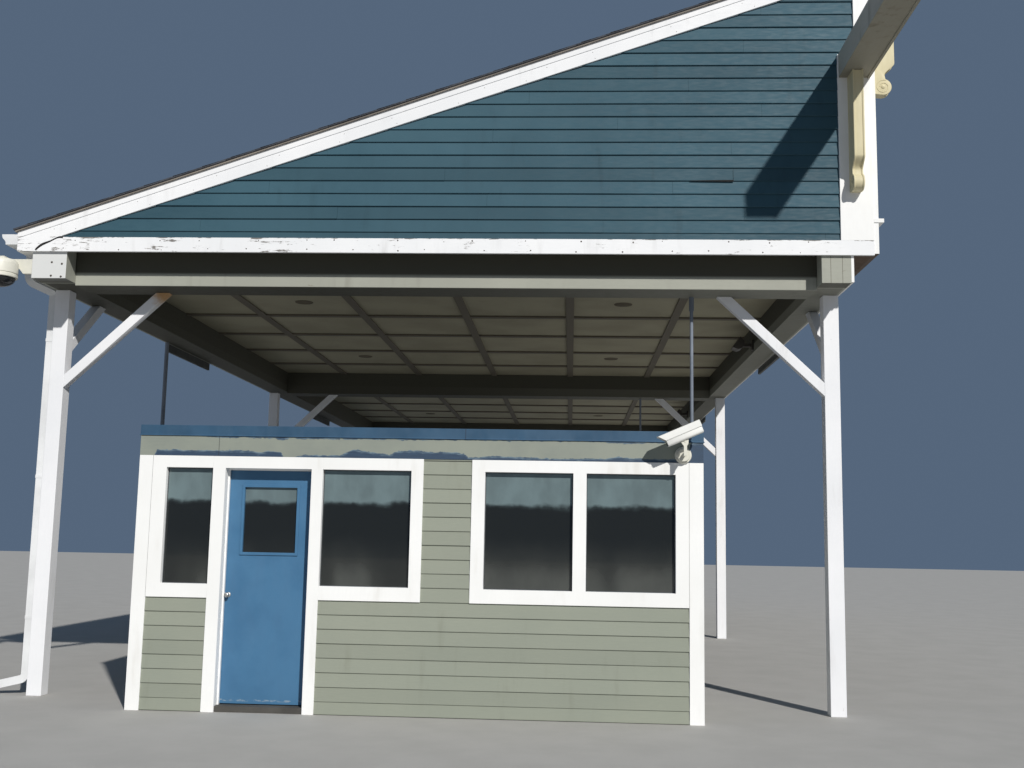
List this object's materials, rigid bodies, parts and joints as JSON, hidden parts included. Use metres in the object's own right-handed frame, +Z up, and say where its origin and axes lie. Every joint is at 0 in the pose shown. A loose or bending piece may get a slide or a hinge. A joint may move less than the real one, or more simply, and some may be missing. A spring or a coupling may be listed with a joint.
{
  "type": "toll booth",
  "caption": "Drive-through toll booth with lap siding and a glazed front, under a gabled two-bay canopy on braced posts with a tall false front, cornice and scroll brackets",
  "frame": {"origin": "on the ground at the middle of the booth floor's underside, on the line of the first row of posts", "axes": "+X along the booth to the right as seen from the door's side, +Y back across the lanes, +Z up"},
  "size_m": [8.367, 20.114, 7.1],
  "materials": {
    "booth_siding": "faded sage paint on lap boards",
    "white_trim": "weathered white paint",
    "booth_deck": "dull boards and roofing",
    "fascia_paint": "sage paint with worn blue bands",
    "blue_metal": "blue sheet metal",
    "door_paint": "blue paint",
    "window_glass": "clear, slightly dusty",
    "bright_steel": "satin metal",
    "beam_paint": "worn grey paint",
    "ceiling_paint": "taupe sheets with dark battens",
    "lamp_cover": "white cover",
    "teal_siding": "faded teal paint on lap boards",
    "shingles": "dark gritty shingles",
    "gutter_metal": "white enamel",
    "cream_trim": "weathered cream paint",
    "board_face": "plain dark enamel",
    "fixture_metal": "bronze enamel",
    "camera_case": "off-white case"
  },
  "bodies": {
    "building": {"booth_floor": "booth_deck", "front_wall_left": "booth_siding", "front_wall_over_door": "booth_siding", "front_wall_right": "booth_siding", "back_wall": "booth_siding", "end_walls": "booth_siding", "booth_corner_boards": "white_trim", "window_casings": "white_trim", "door_casing": "white_trim", "window_jambs": "white_trim", "window_glass": "window_glass", "door_frame": "white_trim", "frame_hinge_halves": "bright_steel", "booth_roof": "booth_deck", "booth_fascia": "fascia_paint", "roof_edge_flashing": "blue_metal", "posts": "white_trim", "side_beams": "beam_paint", "right_beam_side_board": "white_trim", "cross_beams": "beam_paint", "knee_braces": "white_trim", "ceiling_panels": "ceiling_paint", "ceiling_battens": "ceiling_paint", "ceiling_lights": "lamp_cover", "gable_walls": "teal_siding", "gable_trim": "white_trim", "roof_deck": "shingles", "eave_fascia": "white_trim", "gutter_back": "gutter_metal", "gutter_floor": "gutter_metal", "gutter_front": "gutter_metal", "gutter_ends": "gutter_metal", "downspout": "gutter_metal", "false_front_wall": "teal_siding", "false_front_end_boards": "white_trim", "facade_boards": "white_trim", "false_front_cornice": "white_trim", "scroll_brackets": "cream_trim", "outriggers": "white_trim", "lane_boards": "board_face", "floodlights": "fixture_metal", "dome_camera": "camera_case", "conduits": "gutter_metal", "bullet_camera": "camera_case"},
    "door": {"door_leaf": "door_paint", "door_glass": "window_glass", "door_knobs": "bright_steel", "leaf_hinge_halves": "bright_steel"}
  },
  "joints": [
    {"name": "door_hinge", "type": "hinge", "parent": "building", "child": "door", "pos_m": [-0.9275, -0.537, 1.057], "axis": [0, 0, -1], "range_deg": [0, 90]}
  ]
}
